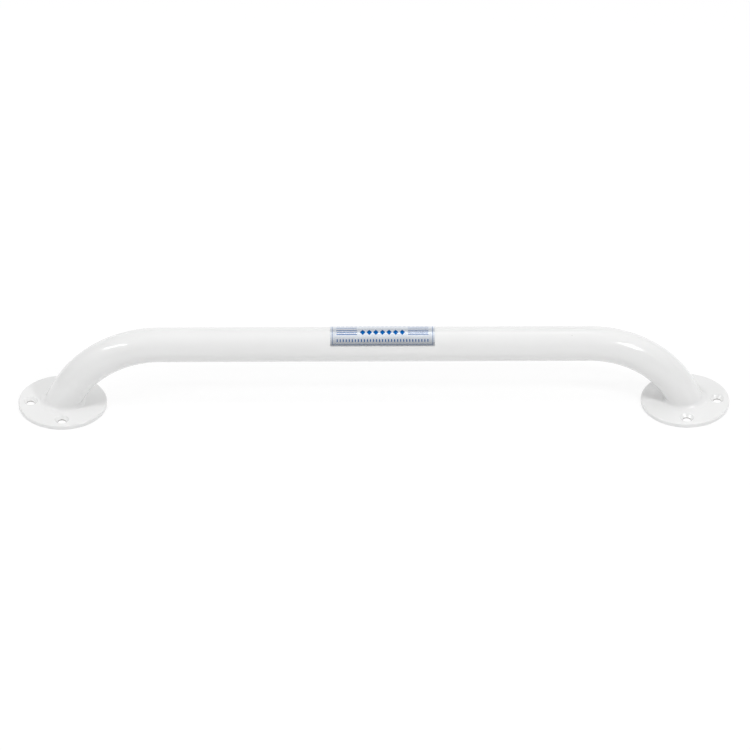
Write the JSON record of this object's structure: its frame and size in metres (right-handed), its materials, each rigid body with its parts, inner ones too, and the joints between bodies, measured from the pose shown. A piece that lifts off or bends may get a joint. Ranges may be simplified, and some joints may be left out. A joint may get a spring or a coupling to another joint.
{
  "type": "grab bar",
  "caption": "Straight wall grab bar: white painted steel tube bent at both ends, welded to round screw flanges.",
  "frame": {"origin": "on the wall plane, midway between the centres of the two flanges", "axes": "+X along the bar to the right flange, +Z out of the wall through the bar, -Y the side that faces the picture's camera"},
  "size_m": [0.5222, 0.065, 0.0657],
  "materials": {
    "paint": "white powder coat, semi-gloss",
    "foil": "silver foil label, printed in blue"
  },
  "bodies": {
    "root": {"bar_tube": "paint", "left_flange": "paint", "right_flange": "paint", "left_weld_bead": "paint", "right_weld_bead": "paint", "centre_label": "foil"}
  },
  "joints": []
}
